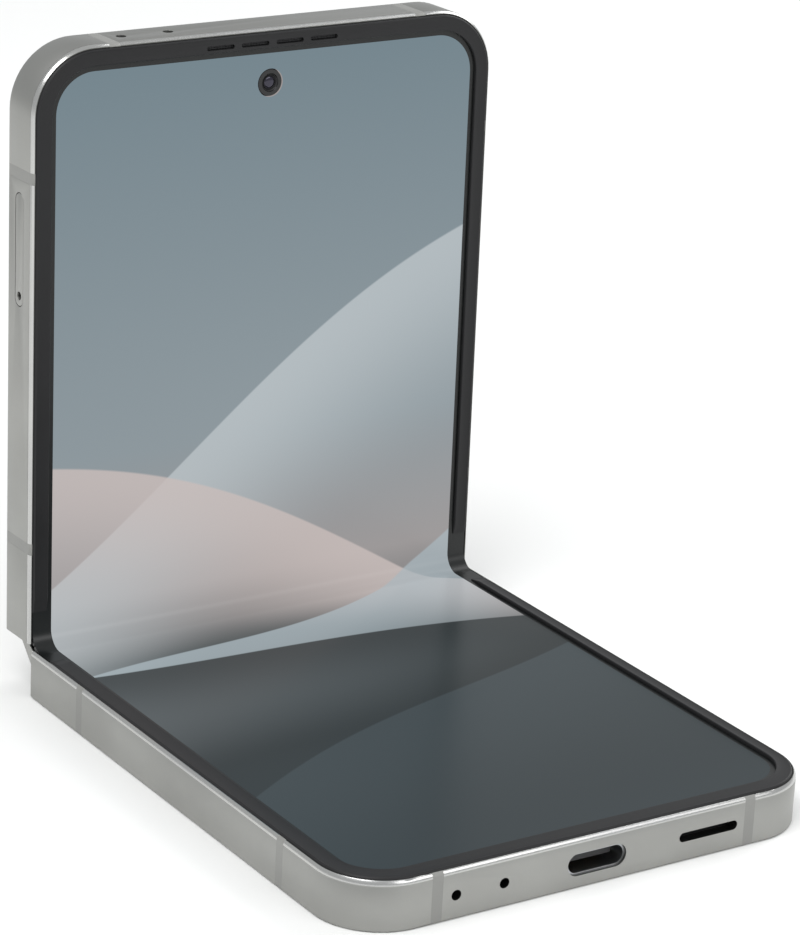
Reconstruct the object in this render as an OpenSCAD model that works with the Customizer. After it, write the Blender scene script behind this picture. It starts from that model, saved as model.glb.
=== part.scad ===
// Foldable phone of the clamshell kind, stored half open with its lower half flat on a table.
// +X runs along the fold axis, +Z is up, and the origin is the middle of the lower half's back face.
// Each half is drawn in its own frame: x across, s from the fold axis to its free end, and z from
// its back face. The spine is drawn round the fold axis.

/* [Halves] */
// Width across the side walls
phone_w = 71.9; // [66:0.1:90]
// Length of each half, from the fold axis to its free end
half_l = 82.55; // [76:0.05:100]
// Thickness of each half, from its back glass to the edge of its frame
frame_t = 6.9; // [6.8:0.1:8.5]
// Radius of the corners at the free ends, in plan
corner_r = 9; // [7.5:0.5:12]
// Angle between the two display halves as stored
fold_angle = 91; // [70:1:170]

/* [Frame] */
// Thickness of the frame's side walls
wall_t = 1.6; // [1.4:0.1:2]
// Round along the back edge of the frame
back_round = 0.4; // [0.2:0.05:0.6]
// Height of the polished rim along the display edge
rim_h = 0.65; // [0.4:0.05:0.8]
// How far the polished rim leans inwards
rim_in = 0.22; // [0.1:0.02:0.3]
// Width of the metal lip beside the bezel
lip_t = 0.42; // [0.36:0.02:0.5]
// Thickness of the plate across the frame that carries the display
mid_plate_t = 1; // [0.8:0.1:1.2]
// Side wall left beside the spine
hinge_wall_t = 0.65; // [0.5:0.05:0.8]
// Length of the solid bar at the hinge end, which carries the hinge arms
hinge_bar_l = 10.8; // [10.6:0.1:13]
// Round at the back corner of the hinge end
end_round = 0.5; // [0.3:0.1:0.8]
// Width of the antenna breaks in the walls
band_w = 1.6; // [1:0.1:2]
// Depth of the plastic in the antenna breaks
band_t = 0.8; // [0.4:0.1:1]
// Distance of the antenna breaks on the end wall from the middle
band_end_x = 23.9; // [22:0.1:26]
// Distance of the side antenna breaks from the hinge end, near one and far one
band_side_s = [13.85, 65.45];

/* [Glass and display] */
// Thickness of the back glass and of the cover window
glass_t = 0.65; // [0.5:0.05:0.8]
// Inset of the back glass from the outline
glass_inset = 1; // [0.8:0.1:1.2]
// Distance of the back glass from the hinge end
glass_start = 3; // [2:0.5:5]
// Drop of the display surface below the frame's edge
display_drop = 0.03; // [0:0.01:0.1]
// Thickness of the flexible display
display_t = 0.52; // [0.4:0.02:0.6]
// Thickness of the metal sheet under the display
support_t = 0.15; // [0.1:0.01:0.2]
// Inset of the display sheet from the outline
display_inset = 2; // [1.9:0.1:2.4]
// Height of the raised bezel above the frame's edge
bezel_h = 0.45; // [0.3:0.05:0.5]
// Inset of the bezel's inner edge from the outline
bezel_inset = 3.2; // [3:0.1:4]
// Bevel along the bezel's outer edge
bezel_bevel = 0.38; // [0.2:0.02:0.5]
// Where the bezel stops before the fold
bezel_end = 4.75; // [4.5:0.05:5.2]
// Inside radius of the display where it bends
fold_radius = 2.6; // [2.4:0.1:3.6]
// Inset of the bending strip from the outline
strip_inset = 1.05; // [0.9:0.05:1.2]

/* [Hinge] */
// Gap between the two frames when folded open
open_gap = 0.3; // [0.2:0.02:0.4]
// Gap between the two frames when folded shut
closed_gap = 1.1; // [1:0.05:1.3]
// Depth of the spine's outer face below the fold axis
spine_depth = 3.25; // [3.2:0.05:3.7]
// Radius of the spine's sides round the fold axis
spine_r = 5.2; // [5.1:0.05:5.3]
// Round between the sides and the outer face of the spine
spine_fillet = 1.2; // [0.8:0.1:1.5]
// Wall of the spine cover
spine_wall = 0.4; // [0.3:0.02:0.42]
// Inset of the spine's ends from the outline
spine_inset = 0.75; // [0.7:0.05:0.9]
// Length of each spine end cap
spine_cap_t = 1; // [0.8:0.1:1.5]
// Gap between the spine and the recess that it turns in
recess_clear = 0.15; // [0.1:0.01:0.2]
// Radial clearance of the arc shoes and of the small shafts
running_clear = 0.05; // [0.03:0.01:0.06]
// Inner radius of the arc shoes round the fold axis
shoe_r = 2.1; // [2.05:0.05:2.15]
// Thickness of the arc shoes
shoe_t = 0.5; // [0.4:0.05:0.5]
// Width of each arc shoe along the axis
shoe_w = 2.8; // [2:0.1:3]
// Distance of the lower half's shoes from the middle
shoe_x = 25.4; // [22:0.1:27]
// Thickness of the hinge arms
arm_t = 0.4; // [0.3:0.02:0.4]
// Teeth on each synchronising gear
gear_teeth = 8; // [8:2:8]
// Module of the synchronising gears
gear_module = 0.16; // [0.15:0.01:0.16]
// Face width of the synchronising gears
gear_w = 2.4; // [1.6:0.1:3]

/* [Ports and keys] */
// Height of the ports' centre line above the back face
port_z = 3.3; // [3:0.1:3.8]
// Width and height of the charging opening
port_size = [8.95, 3.1];
// Depth of the charging socket
port_depth = 7.4; // [6.5:0.1:9]
// Width and height of the loudspeaker slot
speaker_size = [9.2, 1.3];
// Distance of the loudspeaker slot from the middle
speaker_x = 17.4; // [14:0.1:19]
// Radius of the microphone holes
mic_r = 0.7; // [0.5:0.05:0.9]
// Distances of the two microphone holes from the middle
mic_x = [-21.1, -14];
// Length and height of the card tray's face
tray_size = [15.5, 2.15];
// Distance of the card tray's middle from the hinge end
tray_s = 55.1; // [50:0.1:58]
// Radius of the eject hole in the tray's face
eject_r = 0.55; // [0.4:0.05:0.6]
// How far the tray reaches into the phone
tray_depth = 15; // [12:0.5:17]
// Gap round the card tray and the keys
key_clear = 0.08; // [0.05:0.01:0.12]
// Length and height of the power key
power_key_size = [13.5, 2.3];
// Distance of the power key's middle from the hinge end
power_key_s = 33; // [28:0.5:38]
// Length and height of the volume rocker
volume_key_size = [17.5, 2.3];
// Distance of the volume rocker's middle from the hinge end
volume_key_s = 53; // [51:0.5:54]
// How far the keys stand out
key_proud = 0.35; // [0.2:0.05:0.5]
// Number of earpiece slots in the upper bezel
ear_slots = 4; // [2:1:6]
// Length and width of each earpiece slot
ear_slot_size = [4.3, 0.6];

/* [Cameras] */
// Distance of the front camera from the hinge end
front_camera_s = 75.05; // [72:0.1:76]
// Radius of the hole in the display for the front camera
front_hole_r = 1.95; // [1.5:0.05:2.4]
// Centres of the two rear cameras
rear_camera_x = [25, 11.2];
// Distance of the rear cameras from the hinge end
rear_camera_s = 70.6; // [68:0.1:73]
// Outer radius of the rear camera rings
camera_ring_r = 5.7; // [5:0.1:6]
// How far the camera rings stand out of the cover window
camera_proud = 0.9; // [0.5:0.1:1.4]
// Centre of the flash window, across
flash_x = 1.6; // [0:0.1:2.5]

/* [Hidden] */
$fn = 48;
eps = 0.02;

// Each half turns this far from the spine's middle plane, from flat open to the stored pose.
half_turn = (180 - fold_angle) / 2;
// The fold axis lies above the frame's edge, so that the frames close with closed_gap between them.
axis_z = frame_t + closed_gap / 2;
// Each half starts this far from the fold axis.
start_s = open_gap / 2;
half_w = phone_w / 2;
// Levels inside a half, from the back face
display_z = frame_t - display_drop;
ledge_z = display_z - display_t - support_t;
bay_top = ledge_z - mid_plate_t;
bay_floor = glass_t + 0.05;
// Frame
glass_lip_w = 1.5;
recess_r = spine_r + recess_clear;
bezel_gap = 0.03;
bezel_foot = display_inset - 0.1;
// Spine, seen along the fold axis with heights counted from it
fillet_z = spine_fillet - spine_depth;
fillet_y = sqrt(pow(spine_r - spine_fillet, 2) - pow(spine_depth - spine_fillet, 2));
// The hinge arms lie level with the metal sheet under the display.
arm_top = -closed_gap / 2 - display_drop - display_t - support_t;
arm_bottom = arm_top - arm_t;
cover_top = arm_bottom - 0.1;
block_top = arm_top - 0.05;
cap_top = arm_top - 0.3;
spine_l = phone_w - 2 * spine_inset;
shoe_step = shoe_w + 0.6;
// Where an arm runs into the middle of its shoe
shoe_root = sqrt(pow(shoe_r + shoe_t / 2, 2) - arm_top * arm_top);
shoe_sweep = [210, 325];
bracket_s = [sqrt(recess_r * recess_r - arm_bottom * arm_bottom) + 0.15, hinge_bar_l - 0.4];
bracket_w = 9.4;
block_w = 8.8;
screw_r = 0.5;
screw_head_r = 0.85;
screw_head_t = 0.25;
screw_l = 1.8;
// Synchronising gears: four equal gears side by side in the spine
gear_pitch_r = gear_module * gear_teeth / 2;
gear_tip_r = gear_pitch_r + 0.9 * gear_module;
gear_root_r = gear_pitch_r - 1.3 * gear_module;
gear_z = spine_wall - spine_depth + gear_tip_r + 0.06;
gear_y = [-3 * gear_pitch_r, -gear_pitch_r, gear_pitch_r, 3 * gear_pitch_r];
journal_r = 0.34;
plate_x = [gear_w / 2 + 0.05, gear_w / 2 + 0.55];
sync_arm_w = 2.5;
sync_arm_x = plate_x[1] + 0.1;
outer_plate_x = sync_arm_x + sync_arm_w + 0.1;
sync_reach = 8.6;
// The arm's end dips below its place at flat open by the sagitta of the gear's path.
sync_path_r = norm([gear_y[3], gear_z]);
sync_dip = sync_path_r + gear_z;
sync_arm_top = arm_top - 0.25;
sync_arm_bottom = sync_arm_top - arm_t;
sync_floor = sync_arm_bottom - sync_dip - 0.08;
sleeve_l = 5;
// Ports and keys
socket_wall = 0.28;
tray_plate_t = 0.8;
tray_plate_w = 11.8;
// The tray's plate is set off from the middle of its face, clear of the eject hole.
tray_plate_s = tray_s + 0.7;
key_inner_x = half_w - wall_t - 0.2;
flange_t = 0.4;
// Inner pieces
board_t = 0.6;
coil_r = [9, 21];

// Points on an arc, from angle a0 to a1, in n steps
function arc_points(c, r, a0, a1, n) = [
    for (i = [0:n]) let (a = a0 + (a1 - a0) * i / n) [c[0] + r * cos(a), c[1] + r * sin(a)]
];

// ---- Places of the three moving bodies ----

// Drawn flat, s pointing away from the fold axis: the lower half
module in_lower() {
    translate([0, half_l / 2, 0])
        mirror([0, 1, 0])
            children();
}

// Drawn flat with the fold axis through the origin: the spine
module in_spine() {
    translate([0, half_l / 2, axis_z])
        rotate([half_turn, 0, 0])
            children();
}

// Drawn flat, s pointing away from the fold axis: the upper half
module in_upper() {
    in_spine()
        rotate([half_turn, 0, 0])
            translate([0, 0, -axis_z])
                children();
}

// A part turning on its own axle in the spine
module on_axle(index, turn) {
    in_spine()
        translate([0, gear_y[index], gear_z])
            rotate([turn, 0, 0])
                children();
}

// ---- Shared shapes ----

// Plan of a half inside its outline, from s0 to the free end
module half_plan(inset = 0, s0 = start_s) {
    r = corner_r - inset;
    w = half_w - inset;
    l = half_l - inset;
    translate([-w, s0])
        square([2 * w, l - r - s0]);
    translate([r - w, s0])
        square([2 * (w - r), l - s0]);
    for (side = [-1, 1])
        translate([side * (w - r), l - r])
            circle(r);
}

// Sweeps a profile round both sides and the free end; its x is 0 on the outline and negative inside
module perimeter_sweep(s0 = start_s) {
    for (side = [0, 1])
        mirror([side, 0, 0]) {
            translate([half_w, half_l - corner_r, 0])
                rotate([90, 0, 0])
                    linear_extrude(half_l - corner_r - s0)
                        children();
            translate([half_w - corner_r, half_l - corner_r, 0])
                rotate_extrude(angle = 90)
                    translate([corner_r, 0])
                        children();
        }
    translate([corner_r - half_w, half_l, 0])
        rotate([90, 0, 90])
            linear_extrude(phone_w - 2 * corner_r)
                children();
}

// A flat bar with round ends, w by h by t
module stadium(w, h) {
    square([w - h, h], center = true);
    for (side = [-1, 1])
        translate([side * (w - h) / 2, 0])
            circle(h / 2);
}

// A stadium through the free end wall, from depth to just past the outline
module end_slot(x, w, h, depth) {
    translate([x, half_l + 1, port_z])
        rotate([90, 0, 0])
            linear_extrude(depth + 1)
                stadium(w, h);
}

// A stadium through the right side wall, from x0 to x1
module side_slot(s, w, h, x0, x1) {
    translate([x0, s, port_z])
        rotate([90, 0, 90])
            linear_extrude(x1 - x0)
                stadium(w, h);
}

// A box given by its ranges
module block(x, y, z) {
    translate([x[0], y[0], z[0]])
        cube([x[1] - x[0], y[1] - y[0], z[1] - z[0]]);
}

// A box with rounded upright edges
module soft_block(x, y, z, r) {
    translate([(x[0] + x[1]) / 2, (y[0] + y[1]) / 2, z[0]])
        linear_extrude(z[1] - z[0])
            rounded_rect(x[1] - x[0], y[1] - y[0], r);
}

module rounded_rect(w, h, r) {
    square([w - 2 * r, h], center = true);
    square([w, h - 2 * r], center = true);
    for (i = [-1, 1], j = [-1, 1])
        translate([i * (w / 2 - r), j * (h / 2 - r)])
            circle(r);
}

module post(x, s, z, r) {
    translate([x, s, z[0]])
        cylinder(r = r, h = z[1] - z[0]);
}

// ---- Frame of a half ----

// Section of the wall: small round at the back, flat side, leaning rim, lip and ledge
module wall_section() {
    polygon(concat(
        [[-wall_t, 0]],
        arc_points([-back_round, back_round], back_round, -90, 0, 4),
        [
            [0, frame_t - rim_h],
            [-0.3 * rim_in, frame_t - 0.45 * rim_h],
            [-rim_in, frame_t - 0.1],
            [-rim_in - 0.08, frame_t],
            [-lip_t, frame_t],
            [-lip_t, ledge_z],
            [-wall_t, ledge_z]
        ]
    ));
}

// The breaks in the wall for the antennas, as seen in plan
module band_places() {
    for (side = [-1, 1]) {
        block([side * band_end_x - band_w / 2, side * band_end_x + band_w / 2],
            [half_l - band_t, half_l + 1], [-1, frame_t + 1]);
        for (s = band_side_s)
            block([side * half_w - band_t, side * half_w + band_t],
                [s - band_w / 2, s + band_w / 2], [-1, frame_t + 1]);
    }
}

// Room for the spine: a round recess about the fold axis, between the thinned side walls
module spine_recess() {
    translate([hinge_wall_t - half_w, 0, axis_z])
        rotate([0, 90, 0])
            cylinder(r = recess_r, h = phone_w - 2 * hinge_wall_t, $fn = 96);
}

// Room for the two synchronising arms, which slide and dip as the phone folds
module sync_pocket() {
    reach = sync_arm_x + sync_arm_w + 0.3;
    block([-reach, reach], [0, sync_reach + 0.5], [axis_z + sync_floor, frame_t]);
}

module half_frame() {
    difference() {
        union() {
            perimeter_sweep()
                wall_section();
            translate([0, 0, bay_top])
                linear_extrude(mid_plate_t)
                    half_plan(wall_t - 0.2, hinge_bar_l);
            translate([0, 0, glass_t])
                linear_extrude(0.5)
                    difference() {
                        half_plan(wall_t - 0.2, hinge_bar_l - 0.2);
                        half_plan(wall_t + glass_lip_w, hinge_bar_l - 0.4);
                    }
            block([wall_t - half_w - 0.2, half_w - wall_t + 0.2], [start_s, hinge_bar_l],
                [0, axis_z + arm_bottom]);
        }
        translate([0, 0, -1])
            linear_extrude(1 + glass_t)
                half_plan(glass_inset, glass_start);
        spine_recess();
        sync_pocket();
        band_places();
        for (side = [-1, 1], place = screw_places())
            translate([side * place[0], place[1], axis_z + arm_bottom - screw_l])
                cylinder(r = screw_r, h = screw_l + 1);
        // Round along the back corner of the hinge end
        translate([-half_w - 1, start_s, 0])
            rotate([90, 0, 90])
                linear_extrude(phone_w + 2)
                    difference() {
                        translate([-1, -1])
                            square(end_round + 1);
                        translate([end_round, end_round])
                            circle(end_round);
                        translate([end_round, -2])
                            square(4);
                        translate([-2, end_round])
                            square(4);
                    }
    }
}

module half_bands() {
    intersection() {
        perimeter_sweep()
            wall_section();
        band_places();
    }
}

// Section of the raised bezel: a foot on the ledge, a bevelled outer edge and a lap over the display
module bezel_section() {
    outer = -lip_t - bezel_gap;
    top = frame_t + bezel_h;
    polygon([
        [outer, ledge_z],
        [outer, top - bezel_bevel],
        [outer - bezel_bevel, top],
        [-bezel_inset + 0.12, top],
        [-bezel_inset, top - 0.12],
        [-bezel_inset, display_z + bezel_gap],
        [-bezel_foot, display_z + bezel_gap],
        [-bezel_foot, ledge_z]
    ]);
}

module half_support_plate(hole) {
    translate([0, 0, ledge_z])
        linear_extrude(support_t)
            difference() {
                half_plan(display_inset, bracket_s[0]);
                if (hole)
                    translate([0, front_camera_s])
                        circle(front_hole_r + 0.2);
            }
}

module half_display(hole) {
    translate([0, 0, display_z - display_t])
        linear_extrude(display_t)
            difference() {
                half_plan(display_inset, bezel_end - 0.05);
                if (hole)
                    translate([0, front_camera_s])
                        circle(front_hole_r);
            }
}

// ---- Hinge pieces ----

// Where the screws go through each bracket, across and along
function screw_places() = [
    for (x = [-1, 1]) [shoe_x + shoe_step / 2 + x * 3.4, (bracket_s[0] + bracket_s[1]) / 2]
];

// An arm that carries one half: a bracket on the frame's bar and a shoe curved about the fold axis
module rotator(offset) {
    x = [shoe_x + offset - shoe_w / 2, shoe_x + offset + shoe_w / 2];
    middle = shoe_x + shoe_step / 2;
    r = shoe_r + shoe_t;
    difference() {
        union() {
            block([middle - bracket_w / 2, middle + bracket_w / 2], bracket_s,
                [axis_z + arm_bottom, axis_z + arm_top]);
            block(x, [shoe_root, bracket_s[0] + 1],
                [axis_z + arm_bottom, axis_z + arm_top]);
            translate([x[0], 0, axis_z])
                rotate([90, 0, 90])
                    linear_extrude(shoe_w)
                        mirror([1, 0])
                            arc_band(shoe_r, r, shoe_sweep[0], shoe_sweep[1]);
        }
        for (place = screw_places()) {
            post(place[0], place[1], [axis_z + arm_bottom - 1, axis_z + arm_top + 1], screw_r);
            post(place[0], place[1], [axis_z + arm_top - screw_head_t, axis_z + arm_top + 1],
                screw_head_r);
        }
    }
}

// Part of a ring between two radii and two angles less than 180 apart
module arc_band(r0, r1, a0, a1) {
    far = 2 * r1;
    steps = 4;
    intersection() {
        difference() {
            circle(r1);
            circle(r0);
        }
        polygon(concat([[0, 0]], arc_points([0, 0], far, a0, a1, steps)));
    }
}

module hinge_screws() {
    for (side = [-1, 1], place = screw_places()) {
        post(side * place[0], place[1],
            [axis_z + arm_bottom - screw_l + 0.1, axis_z + arm_top - screw_head_t + eps],
            screw_r - 0.03);
        post(side * place[0], place[1],
            [axis_z + arm_top - screw_head_t, axis_z + arm_top], screw_head_r - 0.03);
    }
}

// Half of the spine's outer section, moved in by the wall
module spine_side(inwards) {
    r = spine_r - inwards;
    f = spine_fillet - inwards;
    touch = r * [-fillet_y, fillet_z] / (spine_r - spine_fillet);
    intersection() {
        circle(r, $fn = 96);
        polygon([[0, 0], 2 * touch, [-3 * spine_r, -0.1], [-3 * spine_r, 0]]);
    }
    translate([-fillet_y, fillet_z])
        circle(f);
    polygon([[eps, 0], [-0.9 * r, -0.1], touch, [-fillet_y, inwards - spine_depth],
        [eps, inwards - spine_depth]]);
}

module spine_section(inwards, top) {
    intersection() {
        union() {
            spine_side(inwards);
            mirror([1, 0])
                spine_side(inwards);
        }
        translate([-2 * spine_r, -2 * spine_r])
            square([4 * spine_r, 2 * spine_r + top]);
    }
}

module spine_extrude(x0, x1) {
    translate([x0, 0, 0])
        rotate([90, 0, 90])
            linear_extrude(x1 - x0)
                children();
}

// Housing in the spine that guides one pair of arc shoes
module hinge_block() {
    middle = shoe_x + shoe_step / 2;
    c = running_clear;
    difference() {
        spine_extrude(middle - block_w / 2, middle + block_w / 2)
            intersection() {
                spine_section(spine_wall + eps, block_top);
                translate([-fillet_y - 0.6, -spine_depth])
                    square([2 * fillet_y + 1.2, spine_depth]);
            }
        for (half = [0, 1])
            mirror([0, half, 0])
                spine_extrude(shoe_x + half * shoe_step - shoe_w / 2 - c,
                    shoe_x + half * shoe_step + shoe_w / 2 + c) {
                    arc_band(shoe_r - c, shoe_r + shoe_t + c, shoe_sweep[0] - 60,
                        shoe_sweep[1] + 4);
                    translate([-2 * spine_r, arm_bottom - c])
                        square([2 * spine_r - shoe_root + c, spine_depth]);
                }
    }
}

// Spur gear section with straight-sided teeth
module gear_section() {
    pitch = 360 / gear_teeth;
    polygon([
        for (i = [0:gear_teeth - 1], k = [-3:3])
            let (share = [0.26, 0.18, 0.08][abs(k) > 2 ? 0 : abs(k) > 1 ? 1 : 2],
                r = abs(k) > 2 ? gear_root_r : abs(k) > 1 ? gear_pitch_r : gear_tip_r,
                a = (i + (k == 0 ? 0 : sign(k) * share)) * pitch)
            [r * cos(a), r * sin(a)]
    ]);
}

module gear(phase) {
    rotate([90, 0, 90])
        linear_extrude(gear_w, center = true)
            rotate(phase)
                gear_section();
}

module journal(x0, x1, r) {
    translate([x0, 0, 0])
        rotate([0, 90, 0])
            cylinder(r = r, h = x1 - x0);
}

// Gear shaft with its arm: the arm slides in the pocket of its half's bar and keeps in line with it
module sync_arm(phase) {
    gear(phase);
    journal(-sleeve_l - outer_plate_x - 0.6, gear_w / 2 + 0.5, journal_r);
    translate([-sync_arm_x - sync_arm_w, 0, 0]) {
        journal(0, sync_arm_w, 0.6);
        block([0, sync_arm_w], [-0.3, 0.3], [0, sync_arm_top - gear_z]);
        block([0, sync_arm_w], [gear_y[0] - sync_reach - 2 * gear_y[0], 0],
            [sync_arm_bottom - gear_z, sync_arm_top - gear_z]);
    }
}

// ---- Lower half ----

module lower_frame() {
    color("#b9bab7")
        in_lower()
            difference() {
                half_frame();
                end_slot(0, port_size[0], port_size[1], wall_t + 1);
                translate([0, 0, 0.13])
                    end_slot(speaker_x, speaker_size[0], speaker_size[1], wall_t + 1);
                for (x = mic_x)
                    end_slot(x, 2 * mic_r + eps, 2 * mic_r, wall_t + 1);
            }
}

module lower_back_glass() {
    color("#a9adad")
        in_lower()
            linear_extrude(glass_t)
                half_plan(glass_inset + 0.05, glass_start + 0.05);
}

module lower_bezel() {
    color("#2d2d2e")
        in_lower()
            perimeter_sweep(bezel_end)
                bezel_section();
}

module lower_antenna_bands() {
    color("#a3a4a1")
        in_lower()
            half_bands();
}

module display_lower() {
    color("#3c484b")
        in_lower()
            half_display(false);
}

module lower_support_plate() {
    color("#8d8f90")
        in_lower()
            half_support_plate(false);
}

// The flexible part of the display between the two bezels, as it bends in the stored pose
module display_fold() {
    // Where the flat part meets the bend, counted from the fold axis, and the middle of the bend
    start = (axis_z - display_z - fold_radius) * tan(half_turn);
    middle = [0, (display_z + fold_radius - axis_z) * cos(half_turn) - start * sin(half_turn)];
    flat = start + bezel_end - 0.05;
    along = flat * [-cos(half_turn), sin(half_turn)];
    inner = arc_points(middle, fold_radius, -90 - half_turn, half_turn - 90, 24);
    outer = arc_points(middle, fold_radius + display_t, half_turn - 90, -90 - half_turn, 24);
    width = phone_w - 2 * strip_inset;
    color("#232627")
        in_spine()
            spine_extrude(-width / 2, width / 2)
                polygon(concat(
                    [inner[0] + along], inner, [inner[24] + [-along[0], along[1]]],
                    [outer[0] + [-along[0], along[1]]], outer, [outer[24] + along]
                ));
}

module lower_battery() {
    color("#33363a")
        in_lower()
            soft_block([-30, 30], [hinge_bar_l + 1, 58.5], [1.15, bay_top], 1.5);
}

module charging_coil() {
    color("#b06f45")
        in_lower()
            difference() {
                post(0, 34, [bay_floor, 1.15], coil_r[1]);
                post(0, 34, [0, 2], coil_r[0]);
            }
}

module sub_board() {
    z = port_z - port_size[1] / 2 - board_t;
    color("#1d5b3d")
        in_lower()
            difference() {
                soft_block([-31, 31], [59.5, half_l - wall_t - 0.1], [z, z + board_t], 4);
                post(-25, 67, [z - 1, z + 2], 5.2);
            }
}

module port_shell() {
    color("#c4c5c6")
        in_lower()
            difference() {
                translate([0, half_l - 0.35, port_z])
                    rotate([90, 0, 0])
                        linear_extrude(port_depth)
                            stadium(port_size[0], port_size[1]);
                translate([0, half_l, port_z])
                    rotate([90, 0, 0])
                        linear_extrude(port_depth - 0.4)
                            stadium(port_size[0] - 2 * socket_wall,
                                port_size[1] - 2 * socket_wall);
            }
}

module port_tongue() {
    color("#26282a")
        in_lower()
            translate([0, half_l - 0.35 - port_depth + 0.75, port_z])
                rotate([-90, 0, 0])
                    linear_extrude(port_depth - 2.2)
                        rounded_rect(6.6, 0.7, 0.15);
}

module speaker_module() {
    color("#2b2c2e")
        in_lower()
            soft_block([speaker_x - 8.5, speaker_x + 8.5], [63, half_l - wall_t - 0.3],
                [port_z - port_size[1] / 2, bay_top], 1.2);
}

module speaker_mesh() {
    color("#1b1c1d")
        in_lower()
            translate([0, -wall_t, 0.13])
                intersection() {
                    end_slot(speaker_x, speaker_size[0] + 0.8, speaker_size[1] + 0.8, 1);
                    block([-half_w, half_w], [half_l - 0.3, half_l], [0, frame_t]);
                }
}

// Small woven discs behind two microphone holes
module mic_meshes() {
    for (x = mic_x)
        translate([x, half_l - wall_t, port_z])
            rotate([90, 0, 0])
                cylinder(r = mic_r + 0.35, h = 0.3);
}

module port_mic_meshes() {
    color("#1b1c1d")
        in_lower()
            mic_meshes();
}

module vibration_motor() {
    color("#9a9c9e")
        in_lower()
            post(-25, 67, [1.3, bay_top], 4.8);
}

module lower_rotator_right() {
    color("#7d8084")
        in_lower()
            rotator(0);
}

module lower_rotator_left() {
    color("#7d8084")
        in_lower()
            mirror([1, 0, 0])
                rotator(0);
}

module lower_hinge_screws() {
    color("#5d6063")
        in_lower()
            hinge_screws();
}

// ---- Spine ----

module spine_cover() {
    color("#aeb0ae")
        in_spine()
            difference() {
                spine_extrude(spine_cap_t - spine_l / 2, spine_l / 2 - spine_cap_t)
                    spine_section(0, cover_top);
                spine_extrude(-spine_l, spine_l)
                    spine_section(spine_wall, 0);
                // Notches where the synchronising arms leave the spine
                block([-sync_arm_x - sync_arm_w - 0.3, sync_arm_x + sync_arm_w + 0.3],
                    [-2 * spine_r, 2 * spine_r], [sync_arm_bottom - 0.1, 0]);
            }
}

module spine_cap() {
    spine_extrude(spine_l / 2 - spine_cap_t, spine_l / 2)
        spine_section(0, cap_top);
    spine_extrude(spine_l / 2 - spine_cap_t - 0.8, spine_l / 2 - spine_cap_t)
        intersection() {
            spine_section(spine_wall + eps, cover_top);
            translate([-fillet_y, -2 * spine_r])
                square([2 * fillet_y, 2 * spine_r]);
        }
}

module spine_cap_right() {
    color("#a2a4a2")
        in_spine()
            spine_cap();
}

module spine_cap_left() {
    color("#a2a4a2")
        in_spine()
            mirror([1, 0, 0])
                spine_cap();
}

module hinge_block_right() {
    color("#6f7276")
        in_spine()
            hinge_block();
}

module hinge_block_left() {
    color("#6f7276")
        in_spine()
            mirror([1, 0, 0])
                hinge_block();
}

// Carrier of the gear train: two pairs of end plates on rails, with a bore for every journal
module sync_block() {
    floor_z = spine_wall - spine_depth + eps;
    rail_y = gear_y[3] + gear_tip_r + 0.12;
    end_x = outer_plate_x + 0.5;
    color("#5f6266")
        in_spine()
            difference() {
                intersection() {
                    for (side = [-1, 1]) {
                        mirror([side < 0 ? 1 : 0, 0, 0]) {
                            block(plate_x, [-rail_y - 0.5, rail_y + 0.5], [floor_z, block_top]);
                            block([outer_plate_x, end_x], [-rail_y - 0.5, rail_y + 0.5],
                                [floor_z, block_top]);
                        }
                        mirror([0, side < 0 ? 1 : 0, 0])
                            block([-end_x, end_x], [rail_y, rail_y + 0.7],
                                [floor_z, sync_arm_bottom - 0.08]);
                    }
                    spine_extrude(-end_x - 1, end_x + 1)
                        spine_section(spine_wall, block_top + 1);
                }
                for (y = gear_y)
                    translate([0, y, gear_z])
                        journal(-end_x - 1, end_x + 1, journal_r + running_clear);
            }
}

// Sleeves that grip the two gear shafts and hold the phone at any angle
module friction_sleeves() {
    floor_z = spine_wall - spine_depth + eps;
    color("#4d4f52")
        in_spine()
            for (side = [0, 1])
                rotate([0, 0, 180 * side])
                    friction_sleeve(floor_z);
}

module friction_sleeve(floor_z) {
    x0 = outer_plate_x + 0.5;
    translate([0, gear_y[3], 0])
        difference() {
            union() {
                translate([0, 0, gear_z])
                    journal(x0, x0 + sleeve_l, 0.72);
                block([x0, x0 + sleeve_l], [-0.6, 0.6], [floor_z, gear_z]);
            }
            translate([0, 0, gear_z])
                journal(x0 - 1, x0 + sleeve_l + 1, journal_r + 0.02);
        }
}

module sync_arm_lower() {
    color("#8b8478")
        on_axle(0, -half_turn)
            sync_arm(0);
}

module sync_arm_upper() {
    color("#8b8478")
        on_axle(3, half_turn)
            mirror([0, 1, 0])
                mirror([1, 0, 0])
                    sync_arm(180 / gear_teeth);
}

module idler(phase) {
    gear(phase);
    journal(-plate_x[1], plate_x[1], journal_r);
}

module idler_gear_lower() {
    color("#958d80")
        on_axle(1, half_turn)
            idler(180 / gear_teeth);
}

module idler_gear_upper() {
    color("#958d80")
        on_axle(2, -half_turn)
            idler(0);
}

// ---- Upper half ----

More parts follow.
